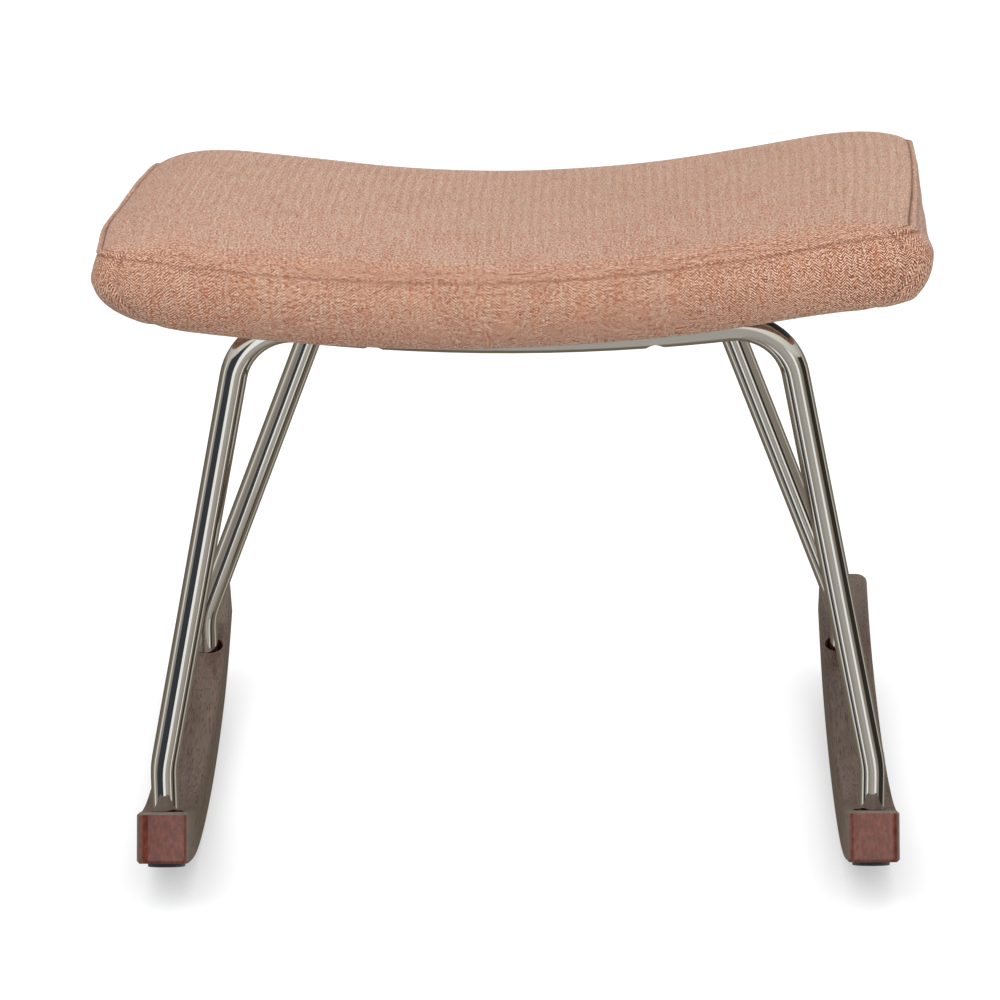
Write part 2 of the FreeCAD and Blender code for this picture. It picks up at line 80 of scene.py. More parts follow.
# Down a band from its seam, in shares of its length
rise_fade = 3                  # how fast the crown of its top edge dies out
widest_way = 0.25
roll_way = 0.35                # where it starts to turn under
roll_span = 0.3                # how much of it turns under
underside_way = 0.62           # past this it is held under the board

# How the cover sits askew: half widths of the top panel at the side seams, from the front to the rear
left_edge = [(263.0,), (267.0,), (264.0,), (260.0,), (256.0,)]
right_edge = [(252.0,), (260.0,), (268.0,), (273.0,), (276.0,)]
front_skew_kept = 0.15         # share of that skew left where the bands are widest
rear_skew_kept = 0.78
front_roll = 6.5               # how much the front edge is lower on the left and higher on the right
roll_reach = 210.0
right_rear_lift = 11.5
rear_corner_droop = 12.0
rear_droop_power = 16          # how close to the corner that droop stays
left_rear_lift = -2.5
left_tuck = 0.013              # how much narrower the left side's roll is, as a share
left_low_droop = -1.0
right_low_droop = 7.0
low_droop_power = 6
puff_height = 0.14             # extra crown at the two sides of the saddle, as a share
puff_place = 130.0
puff_width = 70.0
upright_shift = 13.0           # from the middle of a corner to its upright seam, on the front or rear

# Seams
far_away = 99.0                # the distance given where no seam is near
seam_depth = 1.3
seam_reach = 0.9
front_seam_kept = 0.25         # share of the seam's groove and of its painted shade left at the front and rear, where the panel rolls over
upright_kept = 0.5             # the same for the upright seams
stitch_row_shade = 0.5            # how much painted shade darkens the row of stitches beside a seam
pinch_depth = 0.9              # the wider hollow beside a seam
pinch_reach = 5.0
welt_rise = 0.6                # of the strip between the seam and its row of stitches
side_welt_rise = 1.3           # how much more it rises at the sides
pucker_depth = 0.35            # small gathers beside the seams
pucker_length = 7.0
pucker_reach = 9.0
sag_depth = 0.9                # slow unevenness of the padding
sag_length = 75.0
sag_reach = 98.0               # from a seam, how far that unevenness goes

# Row of stitches below the top seam
stitch_line = 6.7              # from the seam down to it
stitch_slack = 0.5             # how far from it a mesh row may lie
stitch_dip = 0.7
stitch_step = 3.3
stitch_height = -0.1           # of a stitch's middle above the cloth
stitch_length = 2.2
stitch_radius = 0.35

# Where the weave of the front and rear bands, and of the side bands, begins
front_weave_start = 300.0
side_weave_start = 1000.0

# Simulated swelling of the cover
voxel = 5.0
air_pressure = 4.0
cover_tension = 40.0
cover_bending = 2.0
sim_frames = 20
swell_cap = 5.0                # the furthest that a point may move
ease_rounds = 6                # of smoothing afterwards
swell_share = 0.6              # of the swelling that is kept
free_reach = 30.0              # from a seam, how far the cover takes to lie as the padding pushes it
pin_reach = 7.0                # from a seam, how far the cover is held

# Weave of the cover
column_width = 3.4             # of one leg of the herringbone
column_wander = 2.8            # how far its columns stray
twill_pitch = 1.8


# Shader building

class Wire:
    """A node's output or a number's source, so that shader maths reads as arithmetic."""

    def __init__(self, finish, socket):
        self.finish = finish
        self.socket = socket

    def maths(self, operation, first, second):
        return self.finish.node("Math", {"operation": operation}, {0: first, 1: second})

    def __add__(self, other):
        return self.maths("ADD", self, other)

    def __radd__(self, other):
        return self.maths("ADD", other, self)

    def __sub__(self, other):
        return self.maths("SUBTRACT", self, other)

    def __rsub__(self, other):
        return self.maths("SUBTRACT", other, self)

    def __mul__(self, other):
        return self.maths("MULTIPLY", self, other)

    def __truediv__(self, other):
        return self.maths("DIVIDE", self, other)


class Finish:
    """A node tree being filled: a material's or the world's."""

    def __init__(self, owner):
        owner.use_nodes = True
        self.tree = owner.node_tree
        self.tree.nodes.clear()

    def node(self, kind, settings=None, sockets=None, output=0):
        """A new shader node: its settings first, then the values or links of its sockets."""
        made = self.tree.nodes.new("ShaderNode" + kind)
        for name, value in (settings or {}).items():
            if name == "stops":
                self.set_stops(made.color_ramp, value)
            else:
                setattr(made, name, value)
        for key, value in (sockets or {}).items():
            if isinstance(value, Wire):
                self.tree.links.new(value.socket, made.inputs[key])
            else:
                made.inputs[key].default_value = value
        return Wire(self, made.outputs[output]) if made.outputs else made

    def set_stops(self, ramp, stops):
        while len(ramp.elements) < len(stops):
            ramp.elements.new(0.5)
        for element, (place, tint) in zip(ramp.elements, stops):
            element.position = place
            element.color = tint

    def beside(self, wire, output):
        """Another output of the node that a wire comes from."""
        return Wire(self, wire.socket.node.outputs[output])

    def place(self):
        return self.node("TexCoord", output="Object")

    def scaled(self, vector, scale):
        return self.node("Mapping", {"vector_type": "POINT"}, {"Vector": vector, "Scale": scale})

    def part(self, vector, axis):
        """One of a vector's three numbers."""
        return self.node("SeparateXYZ", {}, {"Vector": vector}, output=axis)

    def size(self, value):
        """A value without its sign."""
        return self.node("Math", {"operation": "ABSOLUTE"}, {0: value})

    def grain(self, vector, scale, detail=3.0, roughness=0.55, distortion=0.0):
        return self.node("TexNoise", {"noise_dimensions": "3D"},
                         {"Vector": vector, "Scale": scale, "Detail": detail, "Roughness": roughness,
                          "Distortion": distortion})

    def ramp(self, value, low, high):
        """A value stretched from low..high to 0..1, clamped and eased."""
        return self.node("MapRange", {"interpolation_type": "SMOOTHSTEP"},
                         {"Value": value, "From Min": low, "From Max": high})

    def mix(self, share, first, second):
        return self.node("Mix", {"data_type": "RGBA"}, {"Factor": share, 6: first, 7: second}, output=2)

    def bump(self, height, distance, strength=1.0):
        return self.node("Bump", {}, {"Height": height, "Distance": distance, "Strength": strength})


def colour(red, green, blue):
    """A colour given as it looks on a screen, 0 to 255, in linear light."""
    linear = []
    for channel in (red, green, blue):
        c = channel / 255
        linear.append(c / 12.92 if c <= 0.04045 else ((c + 0.055) / 1.055) ** 2.4)
    return (*linear, 1.0)


def surface(name, build):
    """A material whose build function returns the shader's socket values."""
    made = bpy.data.materials.new(name)
    finish = Finish(made)
    shader = finish.node("BsdfPrincipled", {}, build(finish))
    finish.node("OutputMaterial", {}, {"Surface": shader})
    return made


# Finishes

def cover_cloth(f):
    """Brushed chenille in salmon: herringbone flecks, upright slubs and a pale nap that catches light."""
    uv = f.node("UVMap", {"uv_map": "weave"})
    across = f.part(uv, "X")
    along = f.beside(across, "Y")
    wander = f.grain(f.scaled(uv, (1.0, 0.15, 1.0)), 220.0, 2.0)
    strayed = across + wander * (column_wander * MM)
    column = f.node("Math", {"operation": "PINGPONG"}, {0: strayed, 1: column_width * MM})
    twill = f.node("Math", {"operation": "SINE"}, {0: (along + column) * (2 * pi / (twill_pitch * MM))})
    flecks = f.grain(f.scaled(uv, (1.0, 0.8, 1.0)), 760.0, 1.5, 0.6)
    slubs = f.grain(f.scaled(uv, (1.0, 0.06, 1.0)), 400.0, 2.0, 0.65)
    picks = f.grain(f.scaled(uv, (0.06, 1.0, 1.0)), 400.0, 2.0, 0.6)
    place = f.place()
    nap = f.grain(place, 16.0, 4.0, 0.6)
    nap_fine = f.grain(f.scaled(uv, (0.7, 1.0, 1.0)), 85.0, 3.0, 0.65)
    tufts = f.grain(f.scaled(uv, (0.9, 0.8, 1.0)), 330.0, 2.0, 0.6)
    light = f.ramp(flecks + twill * 0.17 + (slubs - 0.5) * 0.5, 0.53, 0.65)
    dark = f.ramp(flecks + twill * 0.15 - (slubs - 0.5) * 0.4 + (picks - 0.5) * 0.25, 0.49, 0.37)
    ground = f.mix(f.ramp(nap, 0.35, 0.65), colour(184, 112, 80), colour(199, 136, 104))
    ground = f.mix(f.ramp(nap_fine, 0.38, 0.64) * 0.6, ground, colour(213, 160, 129))
    ground = f.mix(f.ramp(tufts, 0.46, 0.32) * 0.9, ground, colour(150, 78, 50))
    ground = f.mix(f.ramp(tufts, 0.54, 0.68) * 0.75, ground, colour(230, 186, 156))
    yarn = f.mix(dark * 0.95, ground, colour(128, 58, 32))
    yarn = f.mix(light * 0.95, yarn, colour(247, 216, 190))
    # painted shade: the cloth darkens in the grooves of the seams and along the row of stitches
    crease = f.node("Attribute", {"attribute_name": "crease"}, output="Fac")
    yarn = f.mix(crease * 0.75, yarn, colour(112, 62, 47))
    weave = twill * 0.3 + flecks + slubs * 0.5
    return {"Base Color": yarn, "Roughness": 0.92, "Sheen Weight": 0.5, "Sheen Roughness": 0.3,
            "Sheen Tint": colour(247, 230, 216), "Specular IOR Level": 0.2,
            "Normal": f.bump(weave, 0.0006, 0.7)}


def chrome(f):
    """Bright plated steel with the faint haze and wipe marks of a polished tube."""
    place = f.place()
    haze = f.grain(place, 30.0, 4.0, 0.6)
    wipes = f.grain(f.scaled(place, (1.0, 1.0, 0.08)), 260.0, 3.0)
    return {"Base Color": f.mix(haze * 0.5, colour(232, 230, 225), colour(214, 211, 204)), "Metallic": 1.0,
            "Roughness": f.ramp(haze, 0.3, 0.8) * 0.05 + wipes * 0.03 + 0.02,
            "Normal": f.bump(wipes, 0.00002, 0.25)}


def stained_wood(f):
    """Walnut-stained ash under lacquer: taupe along the grain with open pores, redder and glossier ends."""
    place = f.place()
    rings = f.grain(f.scaled(place, (1.0, 0.06, 1.0)), 95.0, 4.0, 0.6, 0.4)
    fibre = f.grain(f.scaled(place, (1.0, 0.03, 1.0)), 700.0, 3.0, 0.6)
    pores = f.grain(f.scaled(place, (1.0, 0.035, 1.0)), 1500.0, 1.0, 0.4)
    pore = f.ramp(pores, 0.56, 0.66)
    end = f.ramp(f.size(f.part(f.node("TexCoord", output="Normal"), "Y")), 0.45, 0.7)
    body = f.mix(f.ramp(rings, 0.3, 0.7), colour(86, 66, 56), colour(112, 90, 78))
    body = f.mix(f.ramp(fibre, 0.35, 0.75) * 0.5, body, colour(130, 108, 94))
    body = f.mix(pore * 0.6, body, colour(64, 26, 16))
    # painted sheen: the long faces lighten towards both ends of each rocker, where the lacquer catches the
    # light
    painted_tip_sheen = f.ramp(f.size(f.part(place, "Y")), 0.13, 0.22)
    body = f.mix(painted_tip_sheen * 0.4, body, colour(152, 140, 128))
    cut_grain = f.grain(f.scaled(place, (1.0, 1.0, 0.25)), 420.0, 4.0, 0.65)
    stain = f.grain(place, 60.0, 3.0)
    ends = f.mix(f.ramp(cut_grain, 0.35, 0.7), colour(92, 38, 24), colour(126, 62, 44))
    ends = f.mix(f.ramp(stain, 0.45, 0.7) * 0.4, ends, colour(66, 26, 16))
    chips = f.ramp(f.grain(place, 210.0, 2.0, 0.5), 0.74, 0.78)
    ends = f.mix(chips * 0.8, ends, colour(196, 150, 110))
    return {"Base Color": f.mix(end, body, ends), "Roughness": 0.44 + pore * 0.2 - end * 0.14,
            "Coat Weight": end * 0.6 + 0.4, "Coat Roughness": 0.16,
            "Normal": f.bump(fibre * 0.3 - pore * (1 - end) + cut_grain * 0.4, 0.0003, 0.5)}


def felt(f):
    """Charcoal wool felt with loose hairs."""
    place = f.place()
    hairs = f.grain(place, 900.0, 3.0, 0.7, 1.5)
    return {"Base Color": f.mix(hairs, colour(28, 27, 27), colour(74, 72, 70)), "Roughness": 0.95,
            "Sheen Weight": 0.5, "Normal": f.bump(hairs, 0.0006)}


def zinc_steel(f):
    """Zinc-plated steel with a faint mottled bloom."""
    place = f.place()
    bloom = f.grain(place, 160.0, 4.0)
    return {"Base Color": f.mix(bloom, colour(160, 162, 164), colour(196, 197, 196)), "Metallic": 1.0,
            "Roughness": bloom * 0.2 + 0.25, "Normal": f.bump(bloom, 0.00005)}


def plywood(f):
    """Birch plywood: pale veneers with darker glue lines and long grain."""
    place = f.place()
    grain = f.grain(f.scaled(place, (0.05, 1.0, 1.0)), 300.0, 4.0)
    veneers = f.node("TexWave", {"wave_type": "BANDS", "bands_direction": "Z"},
                     {"Vector": place, "Scale": 110.0, "Distortion": 0.4})
    body = f.mix(f.ramp(grain, 0.3, 0.7), colour(196, 160, 118), colour(222, 192, 150))
    return {"Base Color": f.mix(f.ramp(veneers, 0.8, 1.0) * 0.5, body, colour(120, 84, 54)), "Roughness": 0.7,
            "Normal": f.bump(grain, 0.0002)}


def black_plastic(f):
    """Moulded black plastic with a fine spark-eroded texture."""
    place = f.place()
    spark = f.grain(place, 1400.0, 2.0)
    return {"Base Color": f.mix(spark, colour(20, 20, 21), colour(34, 34, 35)),
            "Roughness": spark * 0.2 + 0.4, "Normal": f.bump(spark, 0.0001)}


def black_lining(f):
    """Black non-woven lining: matted fibres with a pressed dot pattern."""
    place = f.place()
    fibres = f.grain(f.scaled(place, (1.0, 0.6, 1.0)), 700.0, 4.0, 0.7, 1.0)
    dots = f.node("TexVoronoi", {"feature": "F1"}, {"Vector": place, "Scale": 450.0, "Randomness": 0.15})
    dot = f.ramp(dots, 0.25, 0.4)
    return {"Base Color": f.mix(fibres, colour(18, 18, 19), colour(46, 45, 45)), "Roughness": 0.85,
            "Sheen Weight": 0.2, "Normal": f.bump(fibres + dot * 0.5, 0.0002)}


def sewing_thread(f):
    """Twisted polyester thread, a little darker than the cloth."""
    place = f.place()
    twist = f.grain(place, 2500.0, 1.0)
    return {"Base Color": f.mix(twist, colour(150, 96, 74), colour(198, 146, 120)), "Roughness": 0.6,
            "Normal": f.bump(twist, 0.0001)}


finishes = {build.__name__: surface(build.__name__, build)
            for build in (cover_cloth, chrome, stained_wood, felt, zinc_steel, plywood, black_plastic,
                          black_lining, sewing_thread)}


def dress(piece, finish):
    piece.data.materials.clear()
    piece.data.materials.append(finishes[finish])


# Placing seat pieces

board_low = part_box("seat_board")[0] / MM
seat_origin = Vector((0.0, board_low.y + board_half_depth * cos(seat_tilt),
                      board_low.z + board_half_depth * sin(seat_tilt)))
seat_turn = Matrix.Rotation(-seat_tilt, 3, "X")


def on_seat(x, y, z):
    """A point of the level seat, in millimetres, set in the frame."""
    return (seat_turn @ Vector((x, y, z)) + seat_origin) * MM


def saddle(height, x):
    """Height at X of the saddle surface that has a given height in the middle."""
    return saddle_radius - sqrt((saddle_radius - height) ** 2 - x * x)


# Cushion

def spline(points, share):
    """A point of the smooth curve through a list of points, at a share of its number of spans."""
    spans = len(points) - 1
    at = min(max(share, 0.0), 1.0) * spans
    i = min(int(at), spans - 1)
    t = at - i
    near = [points[min(max(k, 0), spans)] for k in (i - 1, i, i + 1, i + 2)]
    return [0.5 * (2 * b + (c - a) * t + (2 * a - 5 * b + 4 * c - d) * t * t
                   + (3 * b - a - 3 * c + d) * t ** 3)
            for a, b, c, d in zip(*near)]


class Section:
    """A band's section, read by the distance along it."""

    def __init__(self, points, steps=160):
        self.line = [spline(points, k / steps) for k in range(steps + 1)]
        self.far = [0.0]
        for first, second in zip(self.line, self.line[1:]):
            self.far.append(self.far[-1] + hypot(second[0] - first[0], second[1] - first[1]))
        self.length = self.far[-1]

    def at(self, share):
        way = min(max(share, 0.0), 1.0) * self.length
        k = min(bisect(self.far, way), len(self.far) - 1)
        t = (way - self.far[k - 1]) / (self.far[k] - self.far[k - 1])
        return [a + (b - a) * t for a, b in zip(self.line[k - 1], self.line[k])]


front_wall = Section(front_section)
side_wall = Section(side_section)


def crowded(share):
    """A share of a half side, -1 to 1, with rows crowded towards the two ends."""
    away = (1.0 - abs(share)) ** grid_crowding
    return (1.0 - away) * (1 if share >= 0 else -1)


def plan(a, b, half_x, half_y, rounding):
    """A grid point in a rectangle with rounded corners.

    Gives its place, how far it faces the front or rear, the way round from the corner's middle, which is
    positive towards the front or rear, and two girths up to it: the front or rear band's and the side band's.
    """
    radius = (rear_corner if b > 0 else front_corner) * rounding
    x, y = abs(a) * half_x, abs(b) * half_y
    u = (x - half_x + radius) / radius
    v = (y - half_y + radius) / radius
    if u > 0 and v > 0:
        out = Vector((u * sqrt(1 - v * v / 2), v * sqrt(1 - u * u / 2)))
        x = half_x - radius * (1 - out.x)
        y = half_y - radius * (1 - out.y)
        way_round = radius * (pi / 4 - atan2(out.x, out.y))
        out.normalize()
    else:
        out = Vector((1.0, 0.0)) if u > v else Vector((0.0, 1.0))
        way_round = radius * (pi / 4 - min(u, v)) * (-1 if u > v else 1)
    side_x = 1 if a >= 0 else -1
    side_y = 1 if b >= 0 else -1
    cut_off = radius * (1 - pi / 4)
    girth = (side_x * (half_x - cut_off - way_round), side_y * (half_y - cut_off + way_round))
    return side_x * x, side_y * y, out.y ** 2, way_round, girth


def crown(x, y):
    """Height of the top panel above the board's underside."""
    to_side = min(max(seam_half_width - abs(x), 0.0) / crown_shoulder, 1.0)
    to_edge = max(seam_half_depth - abs(y), 0.0)
    across = 1 - (1 - to_side) ** shoulder_power
    arched = 1 - front_seam_share - roll_share
    in_depth = front_seam_share + roll_share * (1 - exp(-to_edge / roll_length))
    in_depth += arched * (1 - (1 - to_edge / seam_half_depth) ** 2)
    puff = 1 + puff_height * exp(-((abs(x) - puff_place) / puff_width) ** 2)
    return side_seam_height + crown_height * across * in_depth * puff


def askew(x, y, z, lowered, rolled):
    """The cover's small skew. Lowered is 0 at the seam and 1 at the widest, and rolled is 1 underneath."""
    back = (y / seam_half_depth + 1) / 2
    behind = min(max(back, 0.0), 1.0)
    ahead = 1 - behind
    aside = min(abs(x) / seam_half_width, 1.0)
    kept = 1 - lowered * (1 - front_skew_kept - (rear_skew_kept - front_skew_kept) * back)
    edge = spline(right_edge if x > 0 else left_edge, back)[0]
    x *= 1 + (edge / seam_half_width - 1) * aside * kept
    z += front_roll * max(-1.0, min(1.0, x / roll_reach)) * ahead
    if x > 0:
        lift, droop = right_rear_lift, right_low_droop
    else:
        lift, droop = left_rear_lift, left_low_droop
        x *= 1 - left_tuck * rolled
    z += lift * aside ** 2 * max(back, 0.0) * (1 - rolled)
    z -= rear_corner_droop * (aside * behind) ** rear_droop_power
    z -= droop * (aside * ahead) ** low_droop_power * rolled
    return x, y, z


class Spot:
    """A vertex of the cushion: where it goes, and where it lies in its panel."""

    def __init__(self, a, b, c):
        a, b = crowded(a), crowded(b)
        x, y, self.facing, self.round, self.girth = plan(a, b, seam_half_width, seam_half_depth, 1.0)
        self.plan = (x, y)
        self.way = (1 - c) / 2
        self.down = 0.0
        self.to_seam = min(seam_half_width - abs(x), seam_half_depth - abs(y))
        self.to_corner = far_away
        height = crown(x, y)
        lowered = rolled = 0.0
        if c < on_face and max(abs(a), abs(b)) > on_face:
            x, y, height = self.on_band(a, b, height)
            lowered = min(1.0, self.way / widest_way)
            rolled = min(1.0, max(0.0, (self.way - roll_way) / roll_span))
        elif c < -on_face:
            half_width = seam_half_width + side_section[-1][0]
            half_depth = seam_half_depth + front_section[-1][0]
            x, y = plan(a, b, half_width, half_depth, 1.0)[:2]
            height = front_section[-1][1]
            self.to_seam = far_away
            lowered = rolled = 1.0
        self.to_sewing = min(self.to_seam, self.to_corner)
        self.place = on_seat(*askew(x, y, saddle(height, x), lowered, rolled))

    def on_band(self, a, b, height):
        """Place and height of a vertex of a band, whose top edge has the given height of the crown."""
        front_out, front_height, rounding = front_wall.at(self.way)
        side_out, side_height, _ = side_wall.at(self.way)
        start = self.facing * front_section[0][1] + (1 - self.facing) * side_section[0][1]
        rise = (height - start) * max(0.0, 1 - rise_fade * self.way)
        half_width = seam_half_width + side_out
        half_depth = seam_half_depth + front_out
        x, y, self.facing, self.round, self.girth = plan(a, b, half_width, half_depth, rounding)
        self.down = self.way * (self.facing * front_wall.length + (1 - self.facing) * side_wall.length)
        self.to_seam = self.down
        self.to_corner = abs(self.round - upright_shift)
        return x, y, self.facing * front_height + (1 - self.facing) * side_height + rise


def noise_at(point, length):
    return noise.noise(Vector(point) / (length * MM))


def cushion_panels(mesh, cube, spots):
    """UVs in metres along each panel's weave. A side band goes round its corners up to the upright seams."""
    weave = mesh.uv_layers.new(name="weave").data
    for face in mesh.polygons:
        middle = sum((cube[i] for i in face.vertices), Vector()) / len(face.vertices)
        axis = max(range(3), key=lambda k: abs(middle[k]))
        way_round = sum(spots[i].round for i in face.vertices) / len(face.vertices)
        for corner in face.loop_indices:
            spot = spots[mesh.loops[corner].vertex_index]
            if axis == 2:
                across, along = spot.plan
            elif axis == 0 or way_round < upright_shift:
                across, along = side_weave_start + spot.girth[1], spot.down
            else:
                across, along = front_weave_start + spot.girth[0], spot.down
            weave[corner].uv = (across * MM, along * MM)


def sew(mesh, spots):
    """Presses in the seams and the row of stitches, with the puckers beside them, and marks the painted shade
    that darkens them.
    """
    crease = mesh.attributes.new("crease", "FLOAT", "POINT")
    normals = [vertex.normal.copy() for vertex in mesh.vertices]
    for vertex, spot, normal in zip(mesh.vertices, spots, normals):
        to_row = abs(spot.down - stitch_line) if spot.down > 0 else far_away
        seam = exp(-(spot.to_seam / seam_reach) ** 2) * (1 - spot.facing * (1 - front_seam_kept))
        upright = upright_kept * exp(-(spot.to_corner / seam_reach) ** 2)
        stitched = exp(-(to_row / seam_reach) ** 2)
        near = min(spot.to_sewing, to_row)
        move = -seam_depth * max(seam, upright) - stitch_dip * stitched
        move -= pinch_depth * exp(-(spot.to_sewing / pinch_reach) ** 2)
        if 0 < spot.down < stitch_line:
            rise = welt_rise + side_welt_rise * (1 - spot.facing)
            move += rise * sin(pi * spot.down / stitch_line)
        move += pucker_depth * noise_at(vertex.co, pucker_length) * exp(-near / pucker_reach)
        if spot.to_seam < sag_reach:
            move += sag_depth * noise_at(vertex.co, sag_length)
        vertex.co += normal * (move * MM)
        # painted shade along the seams' grooves and the row of stitches, which darkens the cloth's colour
        crease.data[vertex.index].value = max(seam, upright, stitch_row_shade * stitched)


def pick(chosen):
    """Makes one object the only selected and the active one."""
    bpy.ops.object.select_all(action="DESELECT")
    bpy.context.view_layer.objects.active = chosen
    chosen.select_set(True)


def coarse_copy(cushion):
    """A remeshed copy of the cushion, for the simulation."""
    body = cushion.copy()
    body.data = cushion.data.copy()
    bpy.context.scene.collection.objects.link(body)
    pick(body)
    remesh = body.modifiers.new("remesh", "REMESH")
    remesh.mode = "VOXEL"
    remesh.voxel_size = voxel * MM
    bpy.ops.object.modifier_apply(modifier=remesh.name)
    return body


def pin(body, spots):
    """Holds the coarse copy along the seams and under the board."""
    held = KDTree(len(spots))
    for i, spot in enumerate(spots):
        held.insert(spot.place, i)
    held.balance()
    pins = body.vertex_groups.new(name="pins")
    for vertex in body.data.vertices:
        spot = spots[held.find(vertex.co)[1]]
        hold = 1.0 if spot.way > underside_way else exp(-(spot.to_sewing / pin_reach) ** 2)
        pins.add([vertex.index], hold, "REPLACE")
    return pins.name


def inflate(body, pins):
    """Blows the coarse copy up as cloth with air inside, and caps how far each point moved."""
    start = [vertex.co.copy() for vertex in body.data.vertices]
    cloth = body.modifiers.new("cover", "CLOTH")
    cloth.settings.use_pressure = True
    cloth.settings.uniform_pressure_force = air_pressure
    cloth.settings.effector_weights.gravity = 0.0
    cloth.settings.vertex_group_mass = pins
    cloth.settings.tension_stiffness = cover_tension
    cloth.settings.bending_stiffness = cover_bending
    cloth.collision_settings.use_collision = False
    cloth.point_cache.frame_start = 1
    cloth.point_cache.frame_end = sim_frames
    for step in range(1, sim_frames + 1):
        bpy.context.scene.frame_set(step)
    bpy.ops.object.modifier_apply(modifier=cloth.name)
    for vertex, before in zip(body.data.vertices, start):
        move = vertex.co - before
        if move.length > swell_cap * MM:
            vertex.co = before + move.normalized() * swell_cap * MM
    smooth = body.modifiers.new("ease", "SMOOTH")
    smooth.iterations = ease_rounds
    bpy.ops.object.modifier_apply(modifier=smooth.name)
    finer = body.modifiers.new("finer", "SUBSURF")
    finer.levels = finer.render_levels = 1
    bpy.ops.object.modifier_apply(modifier=finer.name)


def lay_on(cushion, body, spots):
    """Lays the cushion's panels on the swollen copy, more so the further they are from a seam."""
    pick(cushion)
    before = [vertex.co.copy() for vertex in cushion.data.vertices]
    lay = cushion.modifiers.new("lay", "SHRINKWRAP")
    lay.wrap_method = "PROJECT"
    lay.use_negative_direction = lay.use_positive_direction = True
    lay.project_limit = 2 * swell_cap * MM
    lay.target = body
    bpy.ops.object.modifier_apply(modifier=lay.name)
    for vertex, sewn, spot in zip(cushion.data.vertices, before, spots):
        free = 1 - exp(-(spot.to_sewing / free_reach) ** 2) if spot.way < underside_way else 0.0
        vertex.co = sewn.lerp(vertex.co, swell_share * free)


def swell(cushion, spots):
    """Fills the cushion out a little, as its padding does."""
    body = coarse_copy(cushion)
    inflate(body, pin(body, spots))
    lay_on(cushion, body, spots)
    bpy.data.objects.remove(body)
    bpy.context.scene.frame_set(1)


def make_cushion():
    """The padded seat, from a finely divided cube whose faces become the panel, bands and underside."""
    bpy.ops.object.select_all(action="DESELECT")
    bpy.ops.mesh.primitive_cube_add(size=2)
    cushion = bpy.context.object
    cushion.name = "seat_cushion"
    bpy.ops.object.mode_set(mode="EDIT")
    bpy.ops.mesh.select_all(action="SELECT")
    bpy.ops.mesh.subdivide(number_cuts=first_cuts)
    bpy.ops.mesh.subdivide(number_cuts=1)
    bpy.ops.object.mode_set(mode="OBJECT")
    mesh = cushion.data
    cube = [vertex.co.copy() for vertex in mesh.vertices]
    spots = [Spot(*point) for point in cube]
    for vertex, spot in zip(mesh.vertices, spots):
        vertex.co = spot.place
    cushion_panels(mesh, cube, spots)
    mesh.update()
    swell(cushion, spots)
    mesh = cushion.data
    sew(mesh, spots)
    mesh.polygons.foreach_set("use_smooth", [True] * len(mesh.polygons))
    return cushion, spots


def capsule(name, length, radius):
    """One stitch: a small rounded length of thread along X."""
    bpy.ops.object.select_all(action="DESELECT")
    bpy.ops.mesh.primitive_uv_sphere_add(segments=6, ring_count=5, radius=radius * MM,
                                         rotation=(0.0, pi / 2, 0.0))
    made = bpy.context.object
    made.name = name
    bpy.ops.object.transform_apply(location=True, rotation=True, scale=True)
    reach = (length / 2 - radius) * MM
    for vertex in made.data.vertices:
        vertex.co.x += copysign(reach, vertex.co.x)
    bpy.ops.object.shade_smooth()
    return made


def scattered(name, pattern, turns):
    """One mesh of many copies of a pattern, each set by its matrix."""
    gathered = bmesh.new()
    for turn in turns:
        first = len(gathered.verts)
        gathered.from_mesh(pattern.data)
        gathered.verts.ensure_lookup_table()
        for vertex in gathered.verts[first:]:
            vertex.co = turn @ vertex.co
    mesh = bpy.data.meshes.new(name)
    gathered.to_mesh(mesh)
    gathered.free()
    bpy.data.objects.remove(pattern)
    made = bpy.data.objects.new(name, mesh)
    bpy.context.scene.collection.objects.link(made)
    return made


def stitch_loop(cushion, spots):
    """Points and normals round the row of stitches, in order."""
    row = [i for i, spot in enumerate(spots) if abs(spot.down - stitch_line) < stitch_slack]
    ways = {round(spots[i].way, 5) for i in row}
    chosen = min(ways, key=lambda way: abs(way * front_wall.length - stitch_line))
    ring = [i for i in row if abs(spots[i].way - chosen) < 1e-4]
    middle = sum((cushion.data.vertices[i].co for i in ring), Vector()) / len(ring)

    def bearing(i):
        x, y = spots[i].place.x - middle.x, spots[i].place.y - middle.y
        return atan2(y / seam_half_depth, x / seam_half_width)

    ring.sort(key=bearing)
    vertices = [cushion.data.vertices[i] for i in ring]
    return [(vertex.co.copy(), vertex.normal.copy()) for vertex in vertices]


def make_stitching(cushion, spots):
    """A row of thread stitches lying in their dimples, all round below the top seam."""
    ring = stitch_loop(cushion, spots)
    turns = []
    carry = 0.0
    for (here, normal), (there, _) in zip(ring, ring[1:] + ring[:1]):
        span = there - here
        while carry < span.length:
            along = span.normalized()
            up = (normal - along * normal.dot(along)).normalized()
            side = up.cross(along)
            turn = Matrix((along, side, up)).transposed().to_4x4()
            turn.translation = here + along * carry + up * stitch_height * MM
            turns.append(turn)
            carry += stitch_step * MM
        carry -= span.length
    return scattered("cover_stitching", capsule("stitch", stitch_length, stitch_radius), turns)


cushion, spots = make_cushion()
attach(cushion, "root")
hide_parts("seat_foam", "cover_top_panel", "cover_front_band", "cover_rear_band",
            "cover_left_band", "cover_right_band")
dress(cushion, "cover_cloth")

stitching = make_stitching(cushion, spots)
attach(stitching, "root")
dress(stitching, "sewing_thread")

